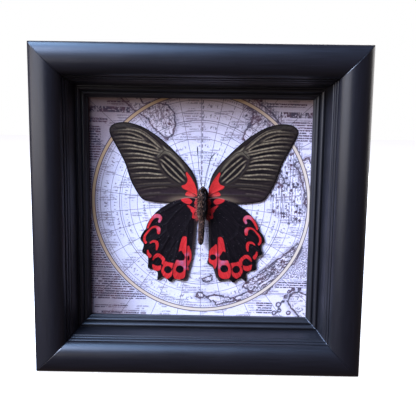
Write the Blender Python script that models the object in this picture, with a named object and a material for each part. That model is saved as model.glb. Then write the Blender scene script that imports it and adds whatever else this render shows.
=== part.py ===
"""Framed butterfly specimen: a swallowtail, underside forward, on a printed chart card in a square frame.

Metres, +Z up. The frame stands on the outer face of its bottom rail and faces -Y. The origin is the centre
of its footprint. Profile and outline points are written in millimetres and scaled once, by MM, where they
are used.
"""

import math

import bmesh
import bpy
from mathutils import Vector

MM = 0.001
GAP = 0.3  # clearance between neighbouring pieces, mm

# Frame: an 8 in square of 1 1/4 in moulding round a 6 in rabbet.
OUTER = 203.2
HALF = OUTER / 2
MOULDING_DEPTH = 38.1
SIGHT_INSET = 32.0
RABBET_INSET = 25.4
LIP_THICKNESS = 2.3

# Moulding profile, as (inset from the outer edge, depth behind the crest).
CREST = (10.5, 0.0)
ROUNDOVER_DROP = 6.2
DOME_RADII = (9.9, 8.4)
DOME_END_ANGLE = -21.0
REED_LINES = [(20.1, 6.5), (21.2, 8.3), (22.35, 10.2)]
REED_RISE = 0.34
SLOPE = [(22.55, 10.6), (23.25, 12.6), (23.95, 15.0), (24.5, 17.4)]
RISER_FOOT = (24.85, 19.2)
BEADS = [((25.35, 19.2), (28.1, 20.2), 1.25), ((28.5, 20.6), (30.8, 21.6), 0.95)]
GROOVE_DEPTH = 0.45
RAIL_CREASE = math.radians(35)
LIP_FRONT = [(31.2, 22.2), (31.7, 22.3), (32.0, 22.6)]

# Card and backing board, dropped into the rabbet from behind.
CARD_THICKNESS = 1.5
BOARD_THICKNESS = 3.0
PANEL_SIDE = OUTER - 2 * (RABBET_INSET + GAP)

# Framer's points that hold the board.
POINT_SIZE = (6.0, 16.0, 0.4)
POINT_BITE = 5.0
POINT_OFFSETS = (-38.0, 38.0)

# Sawtooth hanger and its two nails.
HANGER_LENGTH = 44.0
HANGER_HEIGHT = 9.0
HANGER_THICKNESS = 0.8
HANGER_LIFT = 1.6
HANGER_FLAT = 13.0  # half the length of the lifted middle
HANGER_RAMP = 2.0
TOOTH_PITCH = 2.0
TOOTH_HEIGHT = 1.4
NAIL_SPACING = 34.0
NAIL_SIDES = 20
NAIL_SHANK = 0.6  # radii
NAIL_HEAD = 1.6
NAIL_CROWN = 1.0
NAIL_POINT = 0.1
NAIL_LENGTH = 9.0  # below the head
NAIL_TAPER = 1.2
NAIL_RIM = 0.5
NAIL_HEAD_HEIGHT = 0.8

# Specimen. Heights are from the frame's centre, widths from the butterfly's own midline.
BODY_X = 2.05
BODY_DEPTH = 20.9
DIHEDRAL = 0.4
HINDWING_DEPTH = 23.3
WING_THICKNESS = 0.4
WING_ROOT = 3.6
# Stations along the body: height, half width, half depth.
BODY_STATIONS = [
    (16.0, 0.7, 0.7), (15.3, 1.4, 1.4), (14.0, 1.85, 1.9), (12.8, 1.8, 1.9), (11.9, 1.6, 1.7),
    (10.8, 2.5, 2.6), (8.0, 3.1, 3.2), (3.0, 3.2, 3.3), (-1.5, 2.95, 3.1), (-4.5, 2.3, 2.4),
    (-6.5, 1.95, 2.0), (-12.0, 2.0, 2.1), (-17.0, 1.9, 2.0), (-19.8, 1.65, 1.7), (-21.2, 1.0, 1.1),
    (-22.0, 0.5, 0.6),
]
BODY_SIDES = 16
BODY_CREASE = math.radians(50)
ABDOMEN_LEAN = math.radians(2.0)
LEAN_START = 4.0
# Wing outlines, as (out from the midline, height), from the front of the root round to the back of it. Each
# run is a smooth curve, and the hindwing's runs meet in the teeth of its scalloped margin.
FOREWING_RUNS = [
    [(3.6, 14.2), (5.2, 21.6), (8.9, 27.0), (17.4, 36.2), (27.0, 44.8), (36.6, 50.8), (47.0, 53.9),
     (54.5, 53.8), (58.6, 50.2), (58.2, 46.2), (53.2, 37.4), (49.2, 29.2), (46.0, 21.2), (42.8, 13.8),
     (39.6, 8.3), (35.0, 5.5), (27.2, 4.2), (16.0, 4.4), (3.6, 7.4)],
]
HINDWING_RUNS = [
    [(3.6, 7.6), (9.0, 8.2), (15.0, 6.9), (21.5, 3.9), (28.0, -0.4), (33.4, -5.8), (35.3, -10.6),
     (37.6, -14.8), (39.4, -19.0)],
    [(39.4, -19.0), (37.5, -22.0), (38.2, -28.4)],
    [(38.2, -28.4), (35.2, -30.4), (34.8, -38.6)],
    [(34.8, -38.6), (29.6, -40.2), (28.3, -46.1)],
    [(28.3, -46.1), (24.2, -44.4), (20.6, -47.3)],
    [(20.6, -47.3), (16.2, -45.2), (12.0, -46.0)],
]
# The left hindwing's inner fold is tucked in, and the right one's last lobe is spread.
INNER_RUNS = {
    "left": [(12.0, -46.0), (9.2, -44.6), (8.4, -41.0), (7.2, -36.0), (5.7, -28.0), (5.0, -21.5),
             (4.2, -14.0), (3.8, -8.0), (3.6, -3.0)],
    "right": [(12.0, -46.0), (9.0, -43.4), (7.6, -38.6), (4.4, -35.7), (3.2, -33.8), (4.0, -31.0),
              (4.2, -23.0), (4.0, -15.0), (3.8, -8.0), (3.6, -3.0)],
}
ANTENNA_DEPTH = 21.2
ANTENNA_RADIUS = 0.22
CLUB_SWELL = 2.0
CLUB_START = 0.8  # how far along the antenna its club begins
ANTENNA_RUNS = {
    "antenna_left": [(-1.2, 16.6), (-2.2, 22.0), (-2.8, 28.0), (-3.2, 34.0), (-3.7, 40.4)],
    "antenna_right": [(1.0, 16.6), (2.0, 22.8), (2.8, 26.6), (3.8, 29.7), (4.4, 32.4), (5.5, 34.2),
                      (7.2, 35.9)],
}
PAD_RADII = (2.2, 4.0)
PAD_HEIGHT = 4.0
PAD_SIDES = 24

# Depths behind the crest that follow from the sizes above.
CARD_FRONT = LIP_FRONT[-1][1] + LIP_THICKNESS + GAP
CARD_BACK = CARD_FRONT + CARD_THICKNESS
BOARD_FRONT = CARD_BACK + GAP
BOARD_BACK = BOARD_FRONT + BOARD_THICKNESS
HANGER_FRONT = MOULDING_DEPTH + GAP
HANGER_BACK = HANGER_FRONT + HANGER_LIFT + HANGER_THICKNESS
FRONT_Y = -HANGER_BACK / 2
FOREWING_DEPTH = HINDWING_DEPTH + WING_THICKNESS + GAP


def at(x, depth, z):
    """A point in metres from millimetres: x, depth behind the crest, and height from the frame's centre."""
    return Vector((x, FRONT_Y + depth, z + HALF)) * MM


def material(name, color, roughness, metallic=0.0):
    mat = bpy.data.materials.new(name)
    mat.use_nodes = True
    shader = mat.node_tree.nodes["Principled BSDF"]
    shader.inputs["Base Color"].default_value = (*color, 1.0)
    shader.inputs["Roughness"].default_value = roughness
    shader.inputs["Metallic"].default_value = metallic
    return mat


def add_object(name, data, mat):
    obj = bpy.data.objects.new(name, data)
    bpy.context.scene.collection.objects.link(obj)
    if mat:
        data.materials.clear()
        data.materials.append(mat)
    return obj


def mesh_from(name, bm):
    """Closes the bmesh into a mesh with its faces pointing out."""
    bmesh.ops.recalc_face_normals(bm, faces=bm.faces)
    mesh = bpy.data.meshes.new(name)
    bm.to_mesh(mesh)
    bm.free()
    return mesh


def loft(name, rings):
    """A closed mesh through rings of equal point counts, capped at both ends."""
    bm = bmesh.new()
    loops = [[bm.verts.new(p) for p in ring] for ring in rings]
    for near, far in zip(loops, loops[1:]):
        for i in range(len(near)):
            j = (i + 1) % len(near)
            bm.faces.new((near[i], near[j], far[j], far[i]))
    bm.faces.new(loops[0])
    bm.faces.new(loops[-1])
    return mesh_from(name, bm)


def box(name, low, high):
    corners = [(low[0], low[2]), (high[0], low[2]), (high[0], high[2]), (low[0], high[2])]
    return loft(name, [[at(x, depth, z) for x, z in corners] for depth in (low[1], high[1])])


def arc(centre, radii, start, end, steps):
    """Points on an ellipse, from one angle to another, in degrees."""
    points = []
    for i in range(steps + 1):
        angle = math.radians(start + (end - start) * i / steps)
        points.append((centre[0] + radii[0] * math.cos(angle), centre[1] + radii[1] * math.sin(angle)))
    return points


def bulge(start, end, rise, steps):
    """A bead: a half-round hump that stands forward of the line from start to end, ends left out."""
    points = []
    for i in range(1, steps):
        t = i / steps
        hump = rise * math.sin(math.pi * t) ** 0.7
        points.append((start[0] + (end[0] - start[0]) * t, start[1] + (end[1] - start[1]) * t - hump))
    return points


def smooth(points, per_span):
    """A Catmull-Rom curve through the points, ends included."""
    ends = [points[0]] + list(points) + [points[-1]]
    curve = []
    for i in range(1, len(ends) - 2):
        p0, p1, p2, p3 = (Vector(p) for p in ends[i - 1:i + 3])
        for step in range(per_span):
            t = step / per_span
            a = 2 * p1
            b = (p2 - p0) * t
            c = (2 * p0 - 5 * p1 + 4 * p2 - p3) * t * t
            d = (3 * p1 - p0 - 3 * p2 + p3) * t ** 3
            curve.append(tuple((a + b + c + d) / 2))
    curve.append(tuple(points[-1]))
    return curve


def moulding_profile():
    """The section of one rail, as (inset, depth), once round: front face, lip, rabbet, back."""
    points = arc((CREST[0], ROUNDOVER_DROP), (CREST[0], ROUNDOVER_DROP), 180, 270, 14)
    points += arc((CREST[0], DOME_RADII[1]), DOME_RADII, -90, DOME_END_ANGLE, 10)[1:]
    for start, end in zip(REED_LINES, REED_LINES[1:]):
        points.append(start)
        points += bulge(start, end, REED_RISE, 5)
    points.append(REED_LINES[-1])
    points += smooth(SLOPE, 3)
    points.append(RISER_FOOT)
    for start, end, rise in BEADS:
        points.append(start)
        points += bulge(start, end, rise, 9)
        points += [end, (end[0] + GROOVE_DEPTH / 2, end[1] + GROOVE_DEPTH)]
    points += LIP_FRONT
    points += [
        (SIGHT_INSET, CARD_FRONT - GAP),
        (RABBET_INSET, CARD_FRONT - GAP),
        (RABBET_INSET, MOULDING_DEPTH),
        (0.0, MOULDING_DEPTH),
    ]
    return points


def cutter(name, mesh):
    obj = add_object(name, mesh, None)
    obj.hide_render = True
    obj.display_type = "WIRE"
    return obj


def cut(obj, tool):
    modifier = obj.modifiers.new("Cut " + tool.name, "BOOLEAN")
    modifier.operation = "DIFFERENCE"
    modifier.object = tool


def point_outline(offset, clearance):
    """A framer's point on the bottom rail, as (along, height), with its sharp end in the wood."""
    half = POINT_SIZE[0] / 2 + clearance
    wall = RABBET_INSET - HALF
    tip = wall - POINT_BITE - clearance
    end = wall - POINT_BITE + POINT_SIZE[1]
    shoulder = wall if clearance == 0 else wall + GAP
    if clearance > 0:
        left, right = offset - half, offset + half
        return [(left, tip), (right, tip), (right, shoulder), (left, shoulder)]
    return [(offset, tip), (offset + half, shoulder), (offset + half, end), (offset - half, end),
            (offset - half, shoulder)]


def build_frame():
    """Four mitred rails, each slotted for its two framer's points, with nail holes in the top one."""
    satin_black = material("satin_black_wood", (0.012, 0.012, 0.015), 0.32)
    steel = material("zinc_steel", (0.55, 0.55, 0.56), 0.35, 1.0)
    profile = moulding_profile()
    mitre = GAP / math.sqrt(2)
    rings = []
    for side in (-1, 1):
        rings.append([Vector((side * (HALF - u - mitre), FRONT_Y + d, u - HALF)) * MM for u, d in profile])
    rail = loft("rail", rings)
    rail.shade_smooth()
    rail.set_sharp_from_angle(angle=RAIL_CREASE)
    tab_front = BOARD_BACK + GAP
    tab_back = tab_front + POINT_SIZE[2]
    centre = Vector((0, 0, HALF * MM))
    number = 0
    for turn, name in enumerate(("rail_bottom", "rail_right", "rail_top", "rail_left")):
        frame_turn = (0, -turn * math.pi / 2, 0)
        obj = add_object(name, rail, satin_black)
        obj.location = centre
        obj.rotation_euler = frame_turn
        for offset in POINT_OFFSETS:
            number += 1
            for clearance, label in ((GAP, "slot_"), (0.0, "framers_point_")):
                outline = point_outline(offset, clearance)
                depths = (tab_front - clearance, tab_back + clearance)
                rings = [[Vector((x, FRONT_Y + d, z)) * MM for x, z in outline] for d in depths]
                mesh = loft(label + str(number), rings)
                if clearance > 0:
                    piece = cutter(mesh.name, mesh)
                    cut(obj, piece)
                else:
                    piece = add_object(mesh.name, mesh, steel)
                piece.location = centre
                piece.rotation_euler = frame_turn


def round_stack(x, z, stations, sides):
    """A closed mesh turned about a line along the depth axis, from (depth, radius) stations."""
    turns = [2 * math.pi * i / sides for i in range(sides)]
    rings = []
    for depth, radius in stations:
        rings.append([at(x + radius * math.cos(a), depth, z + radius * math.sin(a)) for a in turns])
    return loft("turned", rings)


def build_hanger():
    """The sawtooth strip nailed across the back of the top rail."""
    steel = material("hanger_steel", (0.62, 0.6, 0.55), 0.38, 1.0)
    middle = HALF - RABBET_INSET / 2
    top = middle + HANGER_HEIGHT / 2
    bottom = middle - HANGER_HEIGHT / 2
    half = HANGER_LENGTH / 2
    teeth = round(2 * (HANGER_FLAT - HANGER_RAMP) / TOOTH_PITCH)
    columns = [(-half, 0.0, 0.0), (-HANGER_FLAT, 0.0, 0.0)]
    for i in range(2 * teeth + 1):
        x = -(HANGER_FLAT - HANGER_RAMP) + i * TOOTH_PITCH / 2
        columns.append((x, HANGER_LIFT, TOOTH_HEIGHT * (i % 2)))
    columns += [(HANGER_FLAT, 0.0, 0.0), (half, 0.0, 0.0)]
    rings = []
    for x, lift, tooth in columns:
        near = HANGER_FRONT + lift
        far = near + HANGER_THICKNESS
        low = bottom + tooth
        rings.append([at(x, near, top), at(x, near, low), at(x, far, low), at(x, far, top)])
    hanger = add_object("sawtooth_hanger", loft("sawtooth_hanger", rings), steel)
    rail = bpy.data.objects["rail_top"]
    head = HANGER_FRONT + HANGER_THICKNESS + GAP
    for side, label in ((-1, "left"), (1, "right")):
        x = side * NAIL_SPACING / 2
        tip = head - NAIL_LENGTH
        stations = [(tip, NAIL_POINT), (tip + NAIL_TAPER, NAIL_SHANK), (head, NAIL_SHANK), (head, NAIL_HEAD)]
        stations += [(head + NAIL_RIM, NAIL_HEAD), (head + NAIL_HEAD_HEIGHT, NAIL_CROWN)]
        add_object("hanger_nail_" + label, round_stack(x, middle, stations, NAIL_SIDES), steel)
        hole = [(tip - GAP, NAIL_SHANK + GAP), (head, NAIL_SHANK + GAP)]
        tool = cutter("nail_hole_" + label, round_stack(x, middle, hole, NAIL_SIDES))
        cut(rail, tool)
        cut(hanger, tool)


def build_panels():
    """The printed card and the board behind it."""
    paper = material("printed_card", (0.66, 0.66, 0.78), 0.6)
    hardboard = material("hardboard", (0.24, 0.15, 0.09), 0.75)
    half = PANEL_SIDE / 2
    card = box("chart_card", (-half, CARD_FRONT, -half), (half, CARD_BACK, half))
    add_object("chart_card", card, paper)
    board = box("backing_board", (-half, BOARD_FRONT, -half), (half, BOARD_BACK, half))
    add_object("backing_board", board, hardboard)


def wing(name, runs, side, depth, mat):
    """A thin plate in the outline of the runs, which leans back to the card away from the body."""
    outline = [runs[0][0]]
    for run in runs:
        outline += smooth(run, 3)[1:]
    slope = math.tan(math.radians(DIHEDRAL))
    rings = []
    for layer in (0.0, WING_THICKNESS):
        ring = [at(BODY_X + side * x, depth + layer + (x - WING_ROOT) * slope, z) for x, z in outline]
        rings.append(ring)
    add_object(name, loft(name, rings), mat)


def build_butterfly():
    """Body, wings, antennae, and the pad that stands the body off the card."""
    body_brown = material("body_scales", (0.05, 0.04, 0.032), 0.8)
    forewing_olive = material("forewing_scales", (0.075, 0.07, 0.06), 0.65)
    hindwing_black = material("hindwing_scales", (0.02, 0.016, 0.018), 0.65)
    antenna_black = material("antenna_black", (0.012, 0.01, 0.01), 0.5)
    rings = []
    for height, half_width, half_depth in BODY_STATIONS:
        middle = BODY_X - max(0.0, LEAN_START - height) * math.tan(ABDOMEN_LEAN)
        turns = [2 * math.pi * i / BODY_SIDES for i in range(BODY_SIDES)]
        spots = [(middle + half_width * math.cos(a), BODY_DEPTH + half_depth * math.sin(a)) for a in turns]
        rings.append([at(x, depth, height) for x, depth in spots])
    body = loft("butterfly_body", rings)
    body.shade_smooth()
    body.set_sharp_from_angle(angle=BODY_CREASE)
    add_object("butterfly_body", body, body_brown)
    for side, label in ((-1, "left"), (1, "right")):
        wing("forewing_" + label, FOREWING_RUNS, side, FOREWING_DEPTH, forewing_olive)
        wing("hindwing_" + label, HINDWING_RUNS + [INNER_RUNS[label]], side, HINDWING_DEPTH, hindwing_black)
    for name, run in ANTENNA_RUNS.items():
        curve = bpy.data.curves.new(name, "CURVE")
        curve.dimensions = "3D"
        curve.bevel_depth = ANTENNA_RADIUS * MM
        curve.bevel_resolution = 2
        curve.use_fill_caps = True
        route = smooth(run, 5)
        spline = curve.splines.new("POLY")
        spline.points.add(len(route) - 1)
        for i, (x, z) in enumerate(route):
            spline.points[i].co = (*at(BODY_X + x, ANTENNA_DEPTH, z), 1.0)
            along = i / (len(route) - 1)
            swell = max(0.0, (along - CLUB_START) / (1 - CLUB_START)) ** 0.5
            spline.points[i].radius = 1.0 + (CLUB_SWELL - 1.0) * swell
        add_object(name, curve, antenna_black)
    foam = material("mounting_foam", (0.7, 0.68, 0.62), 0.9)
    turns = [2 * math.pi * i / PAD_SIDES for i in range(PAD_SIDES)]
    body_back = BODY_DEPTH + max(station[2] for station in BODY_STATIONS)
    rings = []
    for depth in (body_back + GAP, CARD_FRONT - GAP):
        outline = [(PAD_RADII[0] * math.cos(a), PAD_RADII[1] * math.sin(a)) for a in turns]
        rings.append([at(BODY_X + x, depth, PAD_HEIGHT + z) for x, z in outline])
    add_object("mounting_pad", loft("mounting_pad", rings), foam)


for old in list(bpy.data.objects):
    bpy.data.objects.remove(old)
build_frame()
build_hanger()
build_panels()
build_butterfly()
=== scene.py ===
"""Looks of the framed butterfly: satin black moulding, printed chart card, and a red-marked swallowtail seen
from below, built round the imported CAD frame. Outlines and sizes are in millimetres, measured from the frame's
centre or from the butterfly's midline, and at() turns them into metres in the frame's own place."""

import math
import random
from functools import partialmethod

import bmesh
import bpy
import numpy as np
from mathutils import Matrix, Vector
from mathutils.geometry import delaunay_2d_cdt


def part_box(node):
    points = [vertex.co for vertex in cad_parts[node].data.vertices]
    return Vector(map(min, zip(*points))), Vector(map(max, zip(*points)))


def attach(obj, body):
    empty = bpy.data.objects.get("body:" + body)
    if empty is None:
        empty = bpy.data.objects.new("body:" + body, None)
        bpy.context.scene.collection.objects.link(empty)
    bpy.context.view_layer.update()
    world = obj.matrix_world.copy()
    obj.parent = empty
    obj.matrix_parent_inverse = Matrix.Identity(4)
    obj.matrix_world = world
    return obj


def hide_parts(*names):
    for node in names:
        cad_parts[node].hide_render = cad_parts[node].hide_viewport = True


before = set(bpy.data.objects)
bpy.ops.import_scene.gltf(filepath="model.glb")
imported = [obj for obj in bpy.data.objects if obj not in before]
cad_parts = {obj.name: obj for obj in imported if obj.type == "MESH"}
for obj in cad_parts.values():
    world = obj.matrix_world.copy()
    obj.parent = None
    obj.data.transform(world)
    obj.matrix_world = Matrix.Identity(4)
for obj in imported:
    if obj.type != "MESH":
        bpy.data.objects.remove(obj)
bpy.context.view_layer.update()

MM = 0.001
FRONT_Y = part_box("rail_bottom")[0][1]
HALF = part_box("rail_top")[1][2] / 2 / MM
BODY_X = (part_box("forewing_left")[1][0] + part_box("forewing_right")[0][0]) / 2 / MM
SIDES = ((-1, "left"), (1, "right"))


def at(x, depth, z):
    """A point in metres from millimetres: x, depth behind the frame's crest, and height from its centre."""
    return Vector((x * MM, FRONT_Y + depth * MM, (z + HALF) * MM))


def depth_of(y):
    return (y - FRONT_Y) / MM


def srgb(red, green, blue):
    """A linear colour from the 0 to 255 values of a colour picker."""
    shares = (red / 255, green / 255, blue / 255)
    return tuple(((c + 0.055) / 1.055) ** 2.4 if c > 0.04 else c / 12.92 for c in shares)


# ---------------- shader building


class Num:
    """A number or colour inside a material. Arithmetic and the methods add nodes for it."""

    def __init__(self, tree, socket):
        self.tree = tree
        self.socket = socket

    def apply(self, operation, *others):
        return add_node(self.tree, "Math", 0, dict(enumerate((self, *others))), operation=operation)

    __add__ = partialmethod(apply, "ADD")
    __mul__ = partialmethod(apply, "MULTIPLY")
    __sub__ = partialmethod(apply, "SUBTRACT")
    __truediv__ = partialmethod(apply, "DIVIDE")
    abs = partialmethod(apply, "ABSOLUTE")
    least = partialmethod(apply, "MINIMUM")
    most = partialmethod(apply, "MAXIMUM")
    part = partialmethod(apply, "FRACT")
    whole = partialmethod(apply, "FLOOR")
    root = partialmethod(apply, "SQRT")
    flip = partialmethod(apply, "MULTIPLY_ADD", -1, 1)

    def rise(self, low, high):
        """0 up to low, 1 from high on, and a smooth climb between. It falls where low is above high."""
        if low > high:
            return self.rise(high, low).flip()
        inputs = {"Value": self, "From Min": low, "From Max": high}
        return add_node(self.tree, "MapRange", "Result", inputs, interpolation_type="SMOOTHSTEP")

    def line(self, width, soft=0.06):
        """1 where this distance is within width, with soft edges."""
        return self.abs().rise(width + soft, max(width - soft, 0))

    def stripes(self):
        """The distance from the middle of each unit, so 0.5 at every whole number."""
        return (self.part() - 0.5).abs()


def feed(tree, slot, value):
    """A slot takes a Num as a link, a colour as three colour picker values, and anything else as it is."""
    if isinstance(value, Num):
        tree.links.new(value.socket, slot)
    elif slot.type == "RGBA" and len(value) == 3:
        slot.default_value = (*srgb(*value), 1)
    else:
        slot.default_value = value


def add_node(tree, kind, output, inputs, **settings):
    """A new node's output, with the node's settings made and its inputs fed."""
    node = tree.nodes.new("ShaderNode" + kind)
    for label, value in settings.items():
        setattr(node, label, value)
    for label, value in inputs.items():
        feed(tree, node.inputs[label], value)
    return Num(tree, node.outputs[output])


class Finish:
    """A material under way: a Principled shader and what feeds it. Places in it are in mm."""

    def __init__(self, name, **constants):
        self.mat = bpy.data.materials.new(name)
        self.mat.use_nodes = True
        self.tree = self.mat.node_tree
        self.shader = self.tree.nodes["Principled BSDF"]
        for label, value in constants.items():
            self.shader.inputs[label.replace("_", " ").title().replace("Ior", "IOR")].default_value = value
        place = self.tree.nodes.new("ShaderNodeTexCoord")
        split = self.tree.nodes.new("ShaderNodeSeparateXYZ")
        self.tree.links.new(place.outputs["Object"], split.inputs[0])
        x, y, z = [Num(self.tree, out) * (1 / MM) for out in split.outputs]
        self.x, self.y, self.z = x, y - FRONT_Y / MM, z - HALF

    def field(self, name):
        """A number stored on the mesh."""
        return add_node(self.tree, "Attribute", "Fac", {}, attribute_name=name)

    def solid(self, scale):
        """The place in the object, scaled: three numbers for noise or cells."""
        return self.x * scale, self.y * scale, self.z * scale

    def texture(self, kind, output, x, y, z, **inputs):
        inputs["Vector"] = add_node(self.tree, "CombineXYZ", 0, {"X": x, "Y": y, "Z": z})
        return add_node(self.tree, kind, output, {"Scale": 1, **inputs})

    def noise(self, x, y, z, detail=2, rough=0.5):
        """Cloudy noise about 0.5, with features about one unit across."""
        return self.texture("TexNoise", "Fac", x, y, z, Detail=detail, Roughness=rough)

    def cells(self, x, y, z, spread=1):
        """The distance to the nearest of a scatter of points about one unit apart."""
        return self.texture("TexVoronoi", "Distance", x, y, z, Randomness=spread)

    def mix(self, factor, first, second):
        return add_node(self.tree, "Mix", 2, {0: factor, 6: first, 7: second}, data_type="RGBA")

    def coats(self, tone, *coats):
        """A colour with others laid over it one after another, each as (strength, colour)."""
        for strength, color in coats:
            tone = self.mix(strength, tone, color)
        return tone

    def done(self, tone, roughness=None, height=None, relief=0):
        """Joins up the colour, the roughness and a height of 0 to 1 that stands for so many mm of relief."""
        normal = height and add_node(self.tree, "Bump", 0, {"Distance": relief * MM, "Height": height})
        for label, value in (("Base Color", tone), ("Roughness", roughness), ("Normal", normal)):
            if value:
                feed(self.tree, self.shader.inputs[label], value)
        return self


# ---------------- outlines and distances


def smooth(points, steps):
    """A Catmull-Rom curve through points of any dimension, ends included."""
    points = [np.array(p, float) for p in points]
    ends = [points[0]] + points + [points[-1]]
    curve = []
    for p0, p1, p2, p3 in zip(ends, ends[1:], ends[2:], ends[3:]):
        for step in range(steps):
            t = step / steps
            bend = (2 * p0 - 5 * p1 + 4 * p2 - p3) * t * t + (3 * p1 - p0 - 3 * p2 + p3) * t ** 3
            curve.append((2 * p1 + (p2 - p0) * t + bend) / 2)
    return curve + [points[-1]]


def lengths(line):
    """How far along a line each of its points is."""
    return np.concatenate([[0], np.cumsum(np.linalg.norm(np.diff(line, axis=0), axis=1))])


def spaced(line, gap):
    """Points along a line, about a gap apart, ends included."""
    line = np.array(line, float)
    runs = lengths(line)
    stops = np.linspace(0, runs[-1], max(2, round(runs[-1] / gap) + 1))
    return np.stack([np.interp(stops, runs, line[:, i]) for i in range(line.shape[1])], 1)


def to_run(points, start, step):
    """Each point's distance to the straight run from start by step, and the nearest place on it, 0 to 1."""
    t = np.clip((points - start) @ step / max(step @ step, 1e-12), 0, 1)
    return np.linalg.norm(points - start - t[:, None] * step, axis=1), t


def to_line(points, line):
    """Each point's distance to a line, and how far along it the nearest place is, from 0 to 1."""
    line = np.array(line, float)
    runs = lengths(line)
    best = np.full(len(points), 1e9)
    along = np.zeros(len(points))
    for start, end, before, after in zip(line, line[1:], runs, runs[1:]):
        gap, t = to_run(points, start, end - start)
        nearer = gap < best
        best[nearer] = gap[nearer]
        along[nearer] = (before + t * (after - before))[nearer] / runs[-1]
    return best, along


def inside(points, outline):
    """Each point's distance inside a closed outline, negative outside it."""
    outline = np.array(outline, float)
    gap, _ = to_line(points, np.vstack([outline, outline[:1]]))
    within = np.zeros(len(points), bool)
    for (x0, z0), (x1, z1) in zip(outline, np.roll(outline, -1, axis=0)):
        if z0 != z1:
            crossing = x0 + (points[:, 1] - z0) * (x1 - x0) / (z1 - z0)
            within ^= ((z0 > points[:, 1]) != (z1 > points[:, 1])) & (points[:, 0] < crossing)
    return np.where(within, gap, -gap)


def brushed(points, stroke):
    """Each point's distance inside a brush stroke given as (x, z, half width), negative outside it."""
    best = np.full(len(points), -1e9)
    line = np.array(smooth(stroke, 4))
    for start, end in zip(line, line[1:]):
        gap, t = to_run(points, start[:2], end[:2] - start[:2])
        best = np.maximum(best, start[2] + (end[2] - start[2]) * t - gap)
    return best


def hump(x, middle, width):
    """1 at the middle, falling away smoothly on both sides."""
    return np.exp(-((x - middle) / width) ** 2)


def ramp(x, start, length):
    """0 before the start, 1 from a length beyond it, straight between. A negative length runs back."""
    return np.clip((x - start) / length, 0, 1)


# ---------------- meshes and pieces


def add_piece(name, mesh, finishes, slot, node=None, crease=40):
    """An object in the scene that rides on the frame, in the finishes its faces ask for."""
    for finish in finishes:
        mesh.materials.append(finish.mat)
    mesh.shade_smooth()
    mesh.set_sharp_from_angle(angle=math.radians(crease))
    piece = bpy.data.objects.new(name, mesh)
    bpy.context.scene.collection.objects.link(piece)
    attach(piece, "root")
    if node:
        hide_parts(node)


def mesh_of(name, verts, faces, **fields):
    """A mesh with its faces turned outward and its numbers for each vertex."""
    mesh = bpy.data.meshes.new(name)
    mesh.from_pydata([tuple(v) for v in verts], [], faces)
    bm = bmesh.new()
    bm.from_mesh(mesh)
    bmesh.ops.recalc_face_normals(bm, faces=bm.faces)
    bm.to_mesh(mesh)
    bm.free()
    for label, values in fields.items():
        mesh.attributes.new(label, "FLOAT", "POINT").data.foreach_set("value", np.array(values, np.float32))
    return mesh


def ring_faces(first, rings, sides):
    """Faces that join rings of vertices, counted from the first, and close both ends."""
    faces = []
    last = first + (rings - 1) * sides
    for low in range(first, last, sides):
        for k in range(sides):
            nxt = (k + 1) % sides
            faces.append((low + k, low + nxt, low + sides + nxt, low + sides + k))
    return faces + [tuple(range(first + sides - 1, first - 1, -1)), tuple(range(last, last + sides))]


class Shape:
    """Vertices and faces gathered from several closed bodies, with a tone kept for each vertex."""

    def __init__(self):
        self.verts = []
        self.faces = []
        self.tone = []

    def tube(self, path, radii, sides=8, tone=0, noise=lambda: 0):
        """A round body along a path in metres, with a radius in mm for each point and closed ends."""
        first = len(self.verts)
        side = (path[1] - path[0]).normalized().orthogonal().normalized()
        for i, (point, radius) in enumerate(zip(path, radii)):
            ahead = (path[min(i + 1, len(path) - 1)] - path[max(i - 1, 0)]).normalized()
            side = (side - ahead * side.dot(ahead)).normalized()
            other = ahead.cross(side)
            for k in range(sides):
                angle = 2 * math.pi * k / sides
                reach = radius * MM * (1 + noise())
                self.verts.append(point + (side * math.cos(angle) + other * math.sin(angle)) * reach)
                self.tone.append(tone)
        self.faces += ring_faces(first, len(path), sides)

    def hair(self, root, tip, sag, radius, tone):
        """A tapered hair from root to tip that bends by sag on its way."""
        middle = (root + tip) / 2 + sag
        self.tube([root, middle, tip], [radius, radius * 0.7, radius * 0.12], 3, tone)

    def piece(self, name, finish, slot, node=None, crease=40):
        add_piece(name, mesh_of(name, self.verts, self.faces, tone=self.tone), [finish], slot, node, crease)


# ---------------- moulding

SIGHT = 32
RABBET = 25.4
MOULDING_DEPTH = 38.1
CREST_X = 10.5
DROP = 6.2
DOME = (9.9, 8.4)
DOME_END = -21
REEDS = [(20.1, 6.5), (21.2, 8.3), (22.35, 10.2)]
REED_RISE = 0.4
QUIRK = (0.255, 0.156)
SLOPE = [(22.55, 10.6), (23.25, 12.6), (23.95, 15), (24.5, 17.4)]
RISER_FOOT = (24.85, 19.2)
BEADS = [((25.35, 19.2), (28.1, 20.2), 1.25), ((28.5, 20.6), (30.8, 21.6), 0.95)]
GROOVE = 0.45
LIP = [(31.2, 22.2), (31.7, 22.3), (32, 22.6)]
LIP_BACK = 24.9
# Rings of a rail from its mitre inward, as (distance from the mitre, how far the face is drawn in).
MITRE_RINGS = [(0.06, 0.1), (0.3, 0), (0.7, 0), (60, 0)]


def arc(centre, radii, start, end, steps):
    angles = np.radians(np.linspace(start, end, steps + 1))
    return [(centre[0] + radii[0] * math.cos(a), centre[1] + radii[1] * math.sin(a)) for a in angles]


def bulge(start, end, rise, steps):
    points = []
    for t in np.arange(1, steps) / steps:
        lift = rise * math.sin(math.pi * t) ** 0.7
        points.append((start[0] + (end[0] - start[0]) * t, start[1] + (end[1] - start[1]) * t - lift))
    return points


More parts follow.
